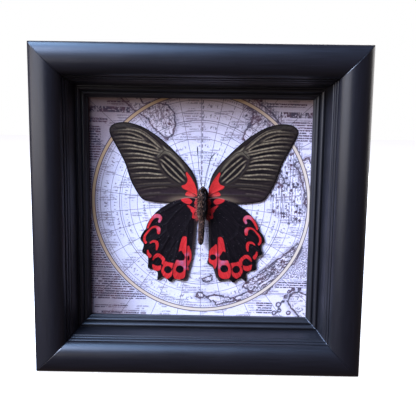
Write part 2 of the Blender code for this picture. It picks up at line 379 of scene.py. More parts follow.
def moulding_face():
    """The show face of the moulding from its back outer corner to the sight edge, as (inset, depth)."""
    points = [(0, MOULDING_DEPTH), (0, 22)]
    points += arc((CREST_X, DROP), (CREST_X, DROP), 180, 270, 28)
    points += arc((CREST_X, DOME[1]), DOME, -90, DOME_END, 20)[1:]
    quirks = [(x - QUIRK[0], depth + QUIRK[1]) for x, depth in REEDS]
    for start, end, quirk in zip(REEDS, REEDS[1:], quirks):
        points += [quirk] + bulge(start, end, REED_RISE, 9)
    points += [quirks[-1]] + smooth(SLOPE, 5) + [RISER_FOOT]
    for start, end, rise in BEADS:
        points += [start] + bulge(start, end, rise, 15)
        points += [end, (end[0] + GROOVE / 2, end[1] + GROOVE)]
    return points + LIP


def satin_black():
    """Satin black lacquer over a moulding with a faint brushed grain along it."""
    finish = Finish("satin_black_lacquer", roughness=0.3, specular_ior_level=0.5, coat_weight=0.12,
                    coat_roughness=0.22)
    x, z, along, across = finish.x, finish.z, finish.field("along"), finish.field("across")
    grain = finish.noise(along * 0.035, across * 2.6, 0, 5, 0.65)
    cloud = finish.noise(along * 0.03, across * 0.12, 7, 3)
    dust = finish.cells(*finish.solid(0.9)).rise(0.09, 0.03)
    # A painted highlight: a pale line along the lower right mitre seam, where the light catches it.
    painted_mitre_glint = finish.field("mitre").rise(0.42, 0.12) * across.rise(56, 60) * x.rise(40, 60) * z.rise(-40, -60)
    painted_mitre_glint = painted_mitre_glint * finish.noise(across * 0.8, 3, 0).rise(0.36, 0.5)
    tone = finish.coats((14, 14, 18), (grain.rise(0.35, 0.75), (24, 23, 29)),
                        (dust * cloud.rise(0.5, 0.62) * 0.5, (92, 90, 96)), (painted_mitre_glint * 0.8, (150, 156, 166)))
    rough = grain * 0.16 + cloud * 0.14 + across.rise(54, 58) * 0.08 + 0.21
    return finish.done(tone, rough, grain * 0.7 + cloud * 0.3, 0.035)


def raw_back():
    """The unpainted back and rabbet: pale composite wood with black overspray at its edges."""
    finish = Finish("raw_moulding_back", roughness=0.8)
    inset = finish.x.abs().most(finish.z.abs()) * -1 + HALF
    grain = finish.noise(finish.field("along") * 0.06, inset * 1.4, 3, 6, 0.7)
    fleck = finish.noise(*finish.solid(1.6), 3)
    ragged = inset + grain * 3
    spray = ragged.rise(4.6, 2).most(ragged.rise(24.6, 26.6))
    wood = finish.coats((150, 118, 84), (grain.rise(0.3, 0.72), (184, 152, 114)),
                        (fleck.rise(0.62, 0.75) * 0.5, (104, 78, 54)), (spray * 0.92, (24, 23, 26)))
    return finish.done(wood, grain * 0.2 + 0.66, grain * 0.6 + fleck * 0.4, 0.12)


def build_moulding():
    """Four mitred lengths. A hairline groove runs along each mitre, where the lacquer breaks."""
    show = moulding_face()
    profile = np.array(show + [(SIGHT, LIP_BACK), (RABBET, LIP_BACK), (RABBET, MOULDING_DEPTH)])
    ways = np.roll(profile, -1, axis=0) - profile
    ways /= np.linalg.norm(ways, axis=1)[:, None]
    ways = ways + np.roll(ways, 1, axis=0)
    inward = np.stack([-ways[:, 1], ways[:, 0]], 1) / np.maximum(np.linalg.norm(ways, axis=1), 0.3)[:, None]
    girth = lengths(profile)
    black, raw = satin_black(), raw_back()
    count = len(profile)
    rings = [(-1, *ring) for ring in MITRE_RINGS] + [(1, *ring) for ring in reversed(MITRE_RINGS)]
    faces = ring_faces(0, len(rings), count)
    for turn, name in enumerate(("bottom", "right", "top", "left")):
        angle = turn * math.pi / 2
        verts, along = [], []
        for side, back, drawn in rings:
            for u, d in profile + inward * drawn:
                run = side * max(HALF - u - back, 4)
                x = run * math.cos(angle) - (u - HALF) * math.sin(angle)
                verts.append(at(x, d, run * math.sin(angle) + (u - HALF) * math.cos(angle)))
                along.append(run + 400 * turn)
        mesh = mesh_of("moulding_" + name, verts, faces, along=along, across=np.tile(girth, len(rings)),
                       mitre=np.repeat([back for _, back, _ in rings], count))
        for number, face in enumerate(mesh.polygons):
            face.material_index = int(number < len(faces) - 2 and number % count >= len(show))
        add_piece(mesh.name, mesh, [black, raw], "satin_black_wood", "rail_" + name, 32)


# ---------------- printed card

RING_CENTRE = (0.85, 3.75)
RING_RADIUS = 70.3
# Circles of the graticule, as (radius, strength, half width).
CIRCLES = [(64.6, 0.85, 0.16), (58, 0.75, 0.18), (52.2, 0.95, 0.2), (50.9, 0.7, 0.16), (45.6, 0.85, 0.18),
           (40.8, 0.85, 0.18), (33, 0.7, 0.17), (26, 0.7, 0.17), (17, 0.7, 0.17), (8, 0.7, 0.17)]
# Circles that letter-like marks follow, as (radius, half height, seed).
CIRCLE_MARKS = [(61.4, 1.5, 10), (55, 1.2, 30), (48.2, 0.9, 50), (36.6, 0.9, 70), (29.4, 0.8, 90)]
# Invented coasts, each a closed outline that the shader frays.
LANDS = [
    [(-39, 74), (-36, 66), (-30, 67), (-21, 66), (-16.5, 61), (-15.5, 53), (-17.5, 47), (-21, 44),
     (-25, 48), (-29, 51), (-33, 57), (-41, 62), (-50, 70)],
    [(23, 76), (27, 68), (33, 62), (32, 56), (28, 50), (26.5, 45), (31, 41), (40, 46), (50, 54), (45, 61),
     (33, 70)],
    [(47, 26), (51, 23), (54, 18), (51, 16), (48, 19), (45, 20)],
    [(58, 30), (62, 26), (66, 14), (67, 4), (71, 0), (75, 20), (68, 34)],
    [(28, -50), (34, -45), (42, -40), (49, -33), (57, -27), (63, -21), (66, -24), (62, -33), (53, -42),
     (46, -50), (37, -54)],
    [(4, -57), (12, -56), (22, -58), (31, -54), (40, -53), (48, -49), (44, -54), (32, -58), (20, -60.5),
     (8, -60)],
    [(-0.5, -54.5), (2.5, -54.5), (3.5, -57), (1, -58.5), (-1.5, -57)],
    [(10, -58.5), (16, -57), (17, -61.5), (11, -62.5)],
    [(57.9, -59.7), (59.5, -55.5), (63.3, -52.8), (69, -54.5), (78, -56), (78, -74), (67, -72),
     (64.6, -68.4), (60.5, -64)],
    [(5, -44), (8, -43), (9, -46), (5, -47.5), (2, -46)],
]
# Blocks of greeked print, as (left, right, low, high).
PRINT_BLOCKS = [(-71, -62.5, 30, 52), (-71, -58, 54, 57), (-71, -34, -59.6, -40.5), (-71, -34, -39.3, 26),
                (-68, -46, -65.4, -63.6), (-66, -34, -69.6, -67.4), (-58.5, -44.5, 65.8, 68),
                (60.5, 71, 44, 53), (57, 71, 54, 57), (41, 66, 65, 67.5), (37.5, 48, -68, -60),
                (49, 70, -50.6, -45.6), (8, 20, 52, 54), (-10, 3, 50, 53), (-13, 2, 42, 44),
                (12, 24, 36, 42)]
TITLE_BLOCKS = [(-70, -44, 60, 65), (49.5, 72, 57.8, 62.8)]
# Round islets as (x, z, radius), and outlines of sand, stippled shoals and scribbled relief.
ISLETS = [(51.9, -61.7, 1.5), (52.6, -65.7, 1.2), (49.2, -67.4, 1.3), (58.6, -67.2, 1.3), (58.6, -53, 1),
          (56.5, -56.3, 1.1), (61.3, -51.4, 1), (65.3, -51.2, 1), (55, -59.6, 0.8)]
SAND = [(64, -14), (74, -8), (74, -45), (48, -45), (57, -34)]
STIPPLES = [
    [(44, 40), (62, 44), (69, 20), (69, -6), (58, -10), (46, -2), (43, 16)],
    [(25, 72), (32, 60), (44, 52), (54, 56), (40, 70)],
    [(-38, 66), (-28, 58), (-22, 50), (-16, 52), (-20, 64)],
]
SCRIBBLES = [
    [(30, -50), (38, -40), (50, -31), (62, -20), (64, -30), (54, -42), (44, -52), (34, -55)],
    [(24, 72), (34, 64), (40, 56), (30, 50)],
]


def block_distance(points, block):
    left, right, low, high = block
    across = np.minimum(points[:, 0] - left, right - points[:, 0])
    return np.minimum(across, np.minimum(points[:, 1] - low, high - points[:, 1]))


def greeked(finish, across, along, pitch, size, slant=1.6):
    """Rows of letter-like marks that spell nothing: 1 on the ink."""
    row = (across / pitch).whole()
    level = (across / pitch).part()
    word = finish.noise(along * (0.3 / size), row * 5.3, 2, 1).rise(0.3, 0.36)
    letter = finish.noise(along * (1.5 / size), row * 9.1 + 40, level * slant).rise(0.37, 0.45)
    return word * letter * (level - 0.5).abs().rise(0.38, 0.26)


def chart_print():
    """Lavender paper with a printed chart: a ring, a graticule, coasts, and greeked blocks of print."""
    finish = Finish("printed_chart_paper", roughness=0.62, specular_ior_level=0.25)
    x, z, mix, noise, cells, field = finish.x, finish.z, finish.mix, finish.noise, finish.cells, finish.field

    def spots(wide, tall, seed, detail=2, rough=0.5):
        return noise(x * wide, seed, z * tall, detail, rough)

    fibre, grit = spots(0.9, 3.2, 0, 4, 0.6), spots(4.5, 4.5, 0)
    dx, dz = x - RING_CENTRE[0], z - RING_CENTRE[1]
    ex, ez = dx * 1.0083 + dz * 0.0062, dz * 0.9917 + dx * 0.0062
    radius = (ex * ex + ez * ez).root()
    rim = radius - RING_RADIUS
    turn = ex.apply("ARCTAN2", ez) * (180 / math.pi)
    wobble = grit * 0.12 - 0.06
    land = field("land")
    coast = land + spots(0.45, 0.45, 11, 5, 0.62) * 4.2 - 2.1

    # Graticule: fine circles and meridians, two of them bold and dashed.
    ink = [(radius - circle + wobble).line(width) * weight for circle, weight, width in CIRCLES]
    fan = ((turn / 12 + 0.46).part() - 0.46) * 12 * (math.pi / 180) * radius
    dash = (radius / 3.4).part().rise(0.3, 0.42)
    plumb = (x - 1 - z * 0.008 + wobble).line(0.36) * z.rise(8, 14) * dash
    slant = (x - 2 - (z - 10) * 0.355 + wobble).line(0.28) * z.rise(12, 18) * dash
    ink += [(fan + wobble).line(0.17) * 0.85, plumb * 0.85, slant * 0.75]
    # Letter-like marks that follow some of the circles, and short captions, strokes and specks over the sea.
    sector = noise(turn * 0.045, 3, 0, 1).rise(0.42, 0.5)
    for circle, reach, seed in CIRCLE_MARKS:
        marks = noise(turn * circle * 0.016, seed, radius * 0.4, 1).rise(0.55, 0.6)
        ink.append(marks * (radius - circle).line(reach, 0.2) * sector * 0.75)
    ink += [greeked(finish, z + 300, x, 1.62, 0.85) * spots(0.075, 0.19, 17, 1).rise(0.53, 0.57) * 0.6,
            (z / 1.7).stripes().rise(0.14, 0.07) * spots(0.3, 1.1, 4).rise(0.6, 0.66) * 0.3,
            cells(x * 0.9, 6, z * 0.9).rise(0.2, 0.1) * spots(0.2, 0.2, 12, 1).rise(0.45, 0.6) * 0.6]
    # Coasts, with engraved level lines along the shore and hills behind it.
    shore = coast.rise(-3.6, -1.4) * coast.rise(0.1, -0.1)
    hills = (spots(0.3, 0.3, 21, 4, 0.6) * 3.4).stripes().rise(0.13, 0.06) * coast.rise(0.5, 1.4)
    levels = ((z + x * 0.22) / 0.86).stripes().rise(0.28, 0.14) * shore
    ink += [coast.line(0.62, 0.3), levels * 0.75, hills * 0.85]
    # Stippled shoals, scribbled relief, sand outside the ring, and islets.
    stipple = field("stipple").rise(-1.2, 1.2)
    dots = cells(x * 0.5, 0, z * 0.46).rise(0.36, 0.22)
    blots = cells(x * 0.3, 14, z * 0.3).rise(0.34, 0.26)
    hatch = (x / 1.7).stripes().rise(0.24, 0.12) * spots(0.7, 0.3, 9).rise(0.42, 0.52)
    ridge, across = x * 0.83 + z * 0.56, z * 0.83 - x * 0.56
    broken = noise(ridge * 0.3, 33, across * 0.8, 1).rise(0.4, 0.45) * field("scribble").rise(-1.2, 1.2)
    tangle = (noise(ridge * 0.16, 31, across * 0.42, 4, 0.62) * 5).stripes().rise(0.3, 0.2) * broken
    sand = spots(1.1, 1.1, 51, 3).rise(0.4, 0.56) * field("sand").rise(-1.5, 1.5) * rim.rise(0, 1)
    islet = field("islet") + grit * 0.5 - 0.25
    ink += [dots * stipple * 0.9, hatch * stipple * 0.85, blots * stipple, tangle, sand * 0.8,
            islet.line(0.42, 0.3), islet.rise(0, 0.5) * grit.rise(0.45, 0.6) * 0.6]
    # Greeked print in rows outside the ring, larger headings, and a faint mottle of ink.
    row = z + x * 0.0195
    small = greeked(finish, row + 200, x, 1.58, 0.85) * field("print").rise(-0.1, 0.1) * rim.rise(0.4, 0.9)
    heading = greeked(finish, row + 210.2, x, 5.6, 2.1, 1.4) * spots(0.5, 1.1, 71, 1).rise(0.36, 0.42)
    worn = spots(1.1, 1.1, 41, 3, 0.6).rise(0.35, 0.75)
    ink += [small, heading * field("title").rise(-0.1, 0.1), worn * 0.16]
    # The ring: a cream band between two fine lines, with a scale along its inner side.
    band = (rim + 1.25).line(1.05, 0.15)
    scale = (rim + 3.9).line(0.5, 0.1) * (turn * 0.8).stripes().rise(0.3, 0.24)
    ring = ((rim + 0.1).line(0.3, 0.12).most((rim + 2.4).line(0.3, 0.12)) * 0.95).most(scale * 0.6)
    printed = ink[0]
    for layer in ink[1:]:
        printed = printed.most(layer)
    printed = (printed * band.flip()).most(ring).most((rim + 3.4).line(0.12) * 0.6)

    # Cloudy lavender paper. It is paler towards the lower right as painted light, and darker at the left and
    # top margins as painted shade from the moulding, reaching further in near the corners.
    left_shade_reach = (z.abs() - 14).most(0) * 0.34 - 57
    paper = finish.coats(
        (212, 206, 220), (spots(0.035, 0.05, 5, 3).rise(0.35, 0.65), (224, 219, 228)),
        # Fibre flecks, then painted light that makes the paper paler towards the lower right.
        (fibre.rise(0.55, 0.75) * 0.25, (194, 189, 205)), ((x - z * 0.6).rise(0, 80) * 0.7, (240, 229, 242)),
        (coast.rise(-0.2, 0.6) * 0.35, (222, 208, 206)),
        (spots(0.11, 0.11, 61, 4, 0.6).rise(0.55, 0.8) * 0.22, (206, 188, 196)),
        # Painted shade from the top and left rails: darker towards the top and left margins.
        ((z + fibre * 4).rise(32, 76) * 0.85, (156, 128, 118)),
        ((x + fibre * 4 - left_shade_reach).rise(9, -14) * 0.8, (126, 104, 100)),
        # The cream ring band, with painted shade turning it tan towards the upper left.
        (band * 0.9, mix((x - z).rise(70, -70), (214, 196, 170), (174, 138, 94))),
        (printed * (fibre.rise(0.3, 0.62) * 0.2 + 0.8),
         mix(spots(0.16, 0.16, 81).rise(0.42, 0.6), (46, 34, 50), (68, 34, 46))))
    return finish.done(paper, fibre * 0.2 + 0.52, fibre * 0.6 + grit * 0.4, 0.02)


def build_card():
    """The card, its face divided finely enough to hold the fields that the print reads."""
    low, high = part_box("chart_card")
    half = (high[0] - low[0]) / 2 / MM
    front, back = depth_of(low[1]), depth_of(high[1])
    cells = 120
    side = cells + 1
    steps = np.linspace(-half, half, side)
    grid = np.array([(x, z) for z in steps for x in steps])
    verts = [at(x, front, z) for x, z in grid]
    verts += [at(x * half, back, z * half) for x, z in ((-1, -1), (1, -1), (1, 1), (-1, 1))]
    faces = []
    for row in range(cells):
        for corner in range(row * side, row * side + cells):
            faces.append((corner, corner + 1, corner + side + 1, corner + side))
    base = side * side
    edges = (range(side), range(side - 1, base, side), range(base - 1, base - side - 1, -1),
             range(base - side, -1, -side))
    for i, edge in enumerate(edges):
        faces.append((*edge, base + (i + 1) % 4, base + i))
    faces.append((base + 3, base + 2, base + 1, base))
    islets = [radius - np.hypot(grid[:, 0] - x, grid[:, 1] - z) for x, z, radius in ISLETS]
    fields = {"islet": islets, "sand": [inside(grid, SAND)]}
    for name, outlines in (("land", LANDS), ("stipple", STIPPLES), ("scribble", SCRIBBLES)):
        fields[name] = [inside(grid, outline) for outline in outlines]
    for name, blocks in (("print", PRINT_BLOCKS), ("title", TITLE_BLOCKS)):
        fields[name] = [block_distance(grid, block) for block in blocks]
    fields = {name: np.append(np.max(values, axis=0), np.zeros(4)) for name, values in fields.items()}
    mesh = mesh_of("chart_print", verts, faces, **fields)
    add_piece("chart_print", mesh, [chart_print()], "printed_card", "chart_card", 30)


# ---------------- wings

HINDWING_DEPTH = depth_of(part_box("hindwing_left")[0][1])
FOREWING_DEPTH = depth_of(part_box("forewing_left")[0][1])
WING_ROOT = 3.6
LEAN = math.tan(math.radians(0.4))
WING_LIFT = 0.2
VEIN_DIP = 0.14
VEIN_FLANK = 1.6
WING_SPACING = 0.62
FLANK_ROW = 0.3
ROW_CLEARANCE = 0.2
HEX_CLEARANCE = 0.42

# Outlines, in runs between the tips of the hindwing's scallops.
FOREWING = [(3.6, 14.2), (5.2, 21), (8.9, 27.2), (17.4, 36.4), (27, 45), (36.6, 51.2), (44.5, 54),
            (50.5, 54.7), (55.5, 53.8), (58.4, 51.6), (59, 49.4), (58.3, 46.4), (55.6, 41.2), (52, 34.6),
            (49, 28.4), (47.3, 23), (45.6, 18), (43.2, 13.2), (40.6, 9), (38.3, 6.4), (35, 5.3), (27.2, 4.3),
            (16, 4.4), (3.6, 7.4)]
HINDWING = [
    [(3.6, 7.6), (9, 8.2), (15, 6.9), (21.5, 3.9), (28, -0.4), (32.6, -5.2), (35.3, -9.6), (36.2, -12.6),
     (38.4, -15.6), (39.6, -18.8), (39.2, -20.6)],
    [(39.2, -20.6), (37.7, -22), (37.6, -24), (38.5, -27), (38, -28.8)],
    [(38, -28.8), (36.2, -29.6), (34.9, -31), (34.7, -34), (35, -37.6), (34.4, -38.9)],
    [(34.4, -38.9), (32, -39.6), (29.6, -40.4), (28.6, -42), (28.8, -46), (28.1, -46.5)],
    [(28.1, -46.5), (25.6, -44.6), (24.2, -44.5), (22.4, -45.6), (21, -47.1), (19.6, -47)],
    [(19.6, -47), (18.2, -45.6), (15.4, -45.6), (13, -46.2), (11.4, -46.6)],
]
INNER_MARGIN = {
    "left": [(11.4, -46.6), (9.2, -44.8), (8.4, -41), (7.2, -36), (5.7, -28), (5, -21.5), (4.2, -14),
             (3.8, -8), (3.6, -3)],
    "right": [(11.4, -46.6), (9, -43.4), (7.7, -39), (6.4, -36.8), (4.4, -35.7), (3.3, -33.9), (3.9, -31),
              (4.2, -23), (4, -15), (3.8, -8), (3.6, -3)],
}
FOREWING_VEINS = [
    [(3.8, 11.5), (6, 18), (10.5, 25.6), (15.5, 31.6), (20, 35.6), (24.4, 37.6), (27, 40.2), (33, 45.4),
     (40, 49.8), (48, 51.6), (53, 51.6)],
    [(4, 10.5), (7, 20.5), (13, 30.6), (22, 39.6), (31, 46.6), (38, 50.9)],
    [(24.4, 37.6), (27, 34.8), (28.6, 33.4), (28.8, 31.6)],
    [(4.4, 9.4), (10, 12.6), (16, 16.5), (20.5, 19.2), (23.5, 21.5), (25.2, 24), (27.3, 27), (28.8, 31.6)],
    [(24.4, 37.6), (27.2, 38.5), (31, 40.8), (35.5, 43), (40, 43.5), (45, 44.3), (50, 44.8), (57.2, 44.6)],
    [(35.5, 43), (39.5, 46.6), (45, 48.9), (51, 49.3), (58.6, 48.9)],
    [(26.3, 35.6), (29, 36.2), (33.5, 37.1), (40, 38.6), (45, 39.4), (50, 39.6), (54.6, 39.4)],
    [(28.7, 32.2), (32, 32.4), (36, 33.1), (40, 33.7), (45, 33.9), (51.4, 33.6)],
    [(27, 26.4), (31, 27.4), (36, 27.9), (40, 27.9), (45, 27.5), (48.4, 27)],
    [(23.3, 21.4), (28, 21.3), (35, 21.5), (40, 21.4), (46.4, 20.8)],
    [(14.5, 15.6), (20, 15.4), (28, 15.4), (36, 14.6), (43.2, 13.2)],
    [(4.5, 9), (10, 9.4), (20, 9.6), (30, 9.4), (40.2, 8.4)],
]
HINDWING_VEINS = [
    [(4.6, 5), (12, 2.6), (18, -3), (23, -9), (27, -10.2), (36.3, -13)],
    [(4.6, 5.4), (14, 5), (22, 0.8), (30, -4.2), (34, -8.4)],
    [(23, -9), (22, -15), (17, -20)],
    [(22.5, -13), (28.5, -18.6), (38, -23.2)],
    [(21, -17), (27.5, -28), (35.4, -33.2)],
    [(4.6, 1), (9, -8), (13, -16), (17, -20), (22, -28), (25.4, -36), (28.2, -45.6)],
    [(14.4, -17.6), (17, -28), (18.5, -38), (20.2, -46.6)],
    [(9, -8), (9.8, -20), (9.95, -33), (11.4, -46)],
]
# Pale rays of the forewing, each with its strength.
FOREWING_RAYS = [
    (0.75, [(10.6, 20.6), (15, 25.5), (20, 30), (24.6, 33.7)]),
    (0.8, [(11.6, 17.8), (16, 22), (20, 26), (25, 30.5), (27.4, 31.8)]),
    (0.72, [(14, 17), (18.5, 20.5), (22, 23.5), (25, 27), (26.6, 29.5)]),
    (0.5, [(12.5, 26.2), (17, 31.6), (22, 36.6), (26, 40.6)]),
    (0.5, [(27.3, 40.5), (32, 44.6), (37, 48.5), (42, 50.7), (48, 51.4)]),
    (0.72, [(26, 38.2), (29.5, 41.2), (34, 45), (38.5, 48), (44, 49.9), (50, 49.9), (55.5, 49.1)]),
    (0.62, [(35.6, 43.6), (40, 46), (46, 48), (52, 48.2), (56.8, 47.5)]),
    (0.78, [(36.2, 43.1), (40, 44), (45, 45.2), (50, 45.8), (56, 45.3)]),
    (0.86, [(27.5, 37.5), (31, 40), (35, 41.5), (40, 42.6), (45, 43.3), (50, 43.5), (55, 43.1)]),
    (0.86, [(26.8, 36.5), (30, 37.3), (35, 38.5), (40, 39.5), (45, 40.6), (50, 40.8), (54, 40.4)]),
    (0.92, [(28, 35.2), (32, 35.9), (36, 37), (40, 37.7), (45, 38.3), (50, 38.2), (53, 37.8)]),
    (0.95, [(30.4, 33), (35, 34), (40, 35), (45, 35.2), (50, 35)]),
    (0.9, [(29.3, 30.5), (32, 31.5), (36, 32.2), (40, 32.5), (45, 32.5), (49.2, 32.2)]),
    (1, [(28.4, 28), (32, 28.8), (36, 29.2), (40, 29.3), (45, 29), (47.9, 28.7)]),
    (0.9, [(27, 25.4), (31, 26), (36, 26.5), (40, 26.5), (44, 26), (47, 25.4)]),
    (1, [(25.4, 22.2), (30, 22.5), (35, 23), (40, 22.9), (45, 22.4)]),
    (0.75, [(22, 20.6), (27, 20.2), (32, 20), (37, 20), (42, 19.7), (44.4, 19.3)]),
    (0.2, [(20, 17), (26, 16.8), (32, 16.5), (38, 16), (42.4, 15.4)]),
    (0.17, [(22, 14.1), (30, 13.7), (36, 12.8), (41, 11.4)]),
    (0.16, [(26, 10.8), (34, 10.2), (39, 9.1)]),
    (0.12, [(30, 8), (37, 7.1)]),
]
# The wide pale bar along the front of the discal cell, as (x, z, half width).
CELL_BAR = [(11.4, 24.8, 0.35), (15, 30.2, 0.75), (20, 34.9, 1.15), (24.2, 36.9, 1.5), (26.8, 35.6, 1.2),
            (28.2, 33.4, 0.6)]
# Red marks of the forewing and the hindwings, as outlines and as brush strokes (x, z, half width).
FOREWING_RED = [
    [(2.8, 7.6), (3, 10.5), (4.2, 14), (5.5, 17), (7.5, 20.5), (9.5, 23.2), (10.4, 24.4), (10.9, 22.8),
     (10.2, 21), (9.7, 18.7), (10.4, 16.9), (11.6, 15.9), (13.6, 15.1), (12.4, 13.4), (10.2, 12.5),
     (5, 9.9)],
    [(4.2, 8.6), (6.4, 10.4), (9, 11.9), (10.4, 11.2), (11.2, 9.6), (10, 8.8), (6.6, 8.2)],
]
HINDWING_BASE_RED = [
    [(6.6, 5.4), (8, 7), (11, 7.6), (13.8, 6.8), (12.8, 5.2), (10.4, 4), (8, 3.7)],
    [(10.2, 3), (9, 3), (7.2, 2.2), (5.4, 1.2), (4.3, 0), (5, -1.4), (5.4, -3), (4.8, -4.6), (5.7, -5.6),
     (6.7, -4.8), (6.4, -2.2), (7.4, -1), (7.8, 0.3), (8.8, 1.4)],
]
HINDWING_STROKES = [
    [(27.6, -7.9, 0.75), (26.7, -5.6, 1), (28.2, -4.2, 1.25), (30.4, -4.6, 1.1), (32.3, -6.6, 0.8),
     (33.8, -9.2, 0.75), (34.9, -11.9, 0.55)],
    [(28, -15.2, 0.9), (28, -12.6, 1.25), (29.8, -11.3, 0.72), (32.3, -12, 0.55), (34.9, -14.6, 0.6),
     (36.8, -17.6, 0.7), (37, -20.2, 0.75), (36.2, -21.6, 0.8)],
    [(29.2, -26.2, 0.45), (28.8, -23.4, 0.9), (29.3, -21.2, 1), (31, -20.6, 0.7), (32.6, -21.3, 0.55),
     (33.7, -22.3, 0.25)],
    [(34.8, -26.8, 0.5), (34.7, -28.6, 0.85), (33.6, -30.2, 1.15), (34, -31, 0.7)],
    [(25.3, -35.4, 0.6), (24.8, -33, 1.1), (26.3, -30.9, 1.1), (28.4, -29.8, 1.2), (30.4, -31, 0.9),
     (31.7, -33, 0.35)],
    [(3.6, -2.4, 0.3), (4.6, -4.4, 0.35), (5.4, -5.6, 0.25)],
    [(3.4, 6.2, 0.5), (4.6, 4.6, 0.8), (3.6, 3.4, 0.5)],
]
HINDWING_BLOCKS = [
    [(26.4, -36.4), (28.6, -37), (30.4, -36.5), (32, -35.9), (31.8, -38.2), (31.2, -39.7), (29.3, -40.4),
     (27.4, -39.8), (26.2, -38.6)],
    [(18, -34.8), (20, -34.5), (21.8, -34.3), (23.2, -33.8), (24.5, -35), (25.1, -36.6), (25.8, -38.4),
     (26.2, -40.2), (25.6, -42.4), (24.2, -44.3), (22.2, -45.4), (21, -44.6), (19.6, -43.4), (19, -41),
     (19.1, -38), (18.5, -36.2)],
    [(10.5, -32.4), (12.4, -32.9), (14.3, -33), (16.4, -32.7), (17.2, -34.3), (18.2, -36.4), (18.7, -39),
     (18.7, -42), (17.9, -44.6), (16.6, -45.5), (13.8, -45.6), (11.6, -44.6), (10.5, -42), (10.2, -37)],
    [(9.9, -17.8), (10.9, -17.2), (12.3, -17.4), (13.2, -18.8), (14, -21.8), (14.7, -25.4), (15, -27.2),
     (14.2, -26.7), (13.2, -26.5), (12.2, -28.2), (11.2, -29.7), (11, -31.2), (11.6, -33.2), (10.4, -34),
     (10.1, -28), (9.9, -22)],
]
ANAL_BLOCKS = {
    "left": [
        [(8.6, -23), (9.5, -23.4), (9.7, -26), (9.7, -33), (9.6, -36.2), (8.9, -36.8), (8, -34.8),
         (7.1, -32.8), (6.8, -29.4), (7.2, -26.6), (7.9, -24.8)],
        [(8.7, -37.4), (9.6, -36.9), (9.5, -39.2), (8.5, -39.6)],
    ],
    "right": [
        [(8.5, -22), (9.4, -22.4), (9.7, -26), (9.7, -33), (9.5, -36.4), (8.6, -38.8), (7.8, -39),
         (7.1, -36.6), (5.2, -35.5), (4, -33.4), (3.8, -30), (4.4, -27), (5.6, -24.8), (7.2, -23.4)],
    ],
}
# Dark lines that part the red blocks.
RED_SPLITS = [
    [(18.2, -33.5), (18.9, -42), (19.4, -45)],
    [(26, -34.5), (26.2, -38), (26.8, -41.5)],
    [(10, -22), (10, -34), (10.6, -44)],
]
# Black spots on the red, as (x, z, half width, half height).
HINDWING_SPOTS = [(22, -39.2, 2.4, 2.45), (14.3, -38.8, 2.55, 2.5)]
ANAL_SPOTS = {"left": (8.6, -31.4, 0.62, 1.7), "right": (6.9, -30.8, 2.1, 2.1)}
# Pink places as (x, z, spread), and how far the marks near the tail are lowered.
PINK_PLACES = [(28.6, -4.6, 2.6), (28, -8, 1.4), (13.2, -34, 2.6), (10.8, -37.5, 1.5), (9.6, -29, 1.3),
               (27.4, -12.6, 1.4)]
ANAL_LIFT = {"left": 0, "right": 0.8}


def wing_sheet(outline, features):
    """Triangles over an outline, with extra rows of points along its features."""
    edge = spaced(np.vstack([outline, outline[:1]]), WING_SPACING * 0.6)[:-1]
    rows = []
    for line in features:
        curve = spaced(smooth(line, 6), WING_SPACING * 0.8)
        ahead = np.gradient(curve, axis=0)
        aside = np.stack([-ahead[:, 1], ahead[:, 0]], 1) / np.linalg.norm(ahead, axis=1)[:, None]
        rows += [curve, curve + aside * FLANK_ROW, curve - aside * FLANK_ROW]
    low, high = outline.min(0), outline.max(0)
    hexes = []
    for row, z in enumerate(np.arange(low[1], high[1], WING_SPACING * 0.866)):
        for x in np.arange(low[0], high[0], WING_SPACING):
            hexes.append((x + (row % 2) * WING_SPACING / 2, z))
    kept = []
    cells = {}

    def keep(p):
        kept.append(p)
        cells.setdefault(tuple(p // WING_SPACING), []).append(p)

    def is_clear(p, clearance):
        column, row = p // WING_SPACING
        near = [q for i in (-1, 0, 1) for j in (-1, 0, 1) for q in cells.get((column + i, row + j), ())]
        return all(math.dist(p, q) > clearance for q in near)

    for p in edge:
        keep(p)
    for group, clearance in ((np.vstack(rows), ROW_CLEARANCE), (np.array(hexes), HEX_CLEARANCE)):
        for p in group[inside(group, outline) > clearance]:
            if is_clear(p, clearance):
                keep(p)
    loop = [(i, (i + 1) % len(edge)) for i in range(len(edge))]
    made = delaunay_2d_cdt([Vector(p) for p in kept], loop, [], 1, 1e-6, False)
    points = np.array([tuple(v) for v in made[0]])
    faces = np.array(made[2])
    within = inside(points[faces].mean(1), edge) > 0
    return points, [tuple(face) for face in faces[within].tolist()]


def rim(faces):
    """The directed edges that only one face has."""
    seen = {pair for face in faces for pair in zip(face, face[1:] + face[:1])}
    return [(a, b) for a, b in seen if (b, a) not in seen]


def build_wing(pair, side, label, outline, veins, rays, level, drape, ridge, fields, finish):
    """A thin wing: raised veins, membrane that dips between them, and the fields that its finish reads."""
    outline = np.array(outline)
    points, faces = wing_sheet(outline, veins + rays)
    vein = np.min([to_line(points, smooth(line, 6))[0] for line in veins], axis=0)
    edge = inside(points, outline)
    place = level + WING_LIFT + (points[:, 0] - WING_ROOT) * LEAN + drape(*points.T)
    place += VEIN_DIP * ramp(vein, 0, VEIN_FLANK) ** 0.7
    rib = ridge * hump(vein, 0, 0.2) * np.clip(edge / 1.5, 0.3, 1)
    half = 0.055 + 0.045 * ramp(edge, 0, 2)
    verts = []
    for depth in (place - half - rib, place + half + rib * 0.6):
        verts += [at(BODY_X + side * x, d, z) for (x, z), d in zip(points, depth)]
    count = len(points)
    sheet = faces + [tuple(count + i for i in reversed(face)) for face in faces]
    sheet += [(b, a, a + count, b + count) for a, b in rim(faces)]
    fields = {"vein": vein, "edge": edge, "out": points[:, 0], "up": points[:, 1], **fields(points)}
    name = pair + "_membrane_" + label
    mesh = mesh_of(name, verts, sheet, **{key: np.tile(values, 2) for key, values in fields.items()})
    add_piece(name, mesh, [finish], pair + "_scales", pair + "_" + label, 50)


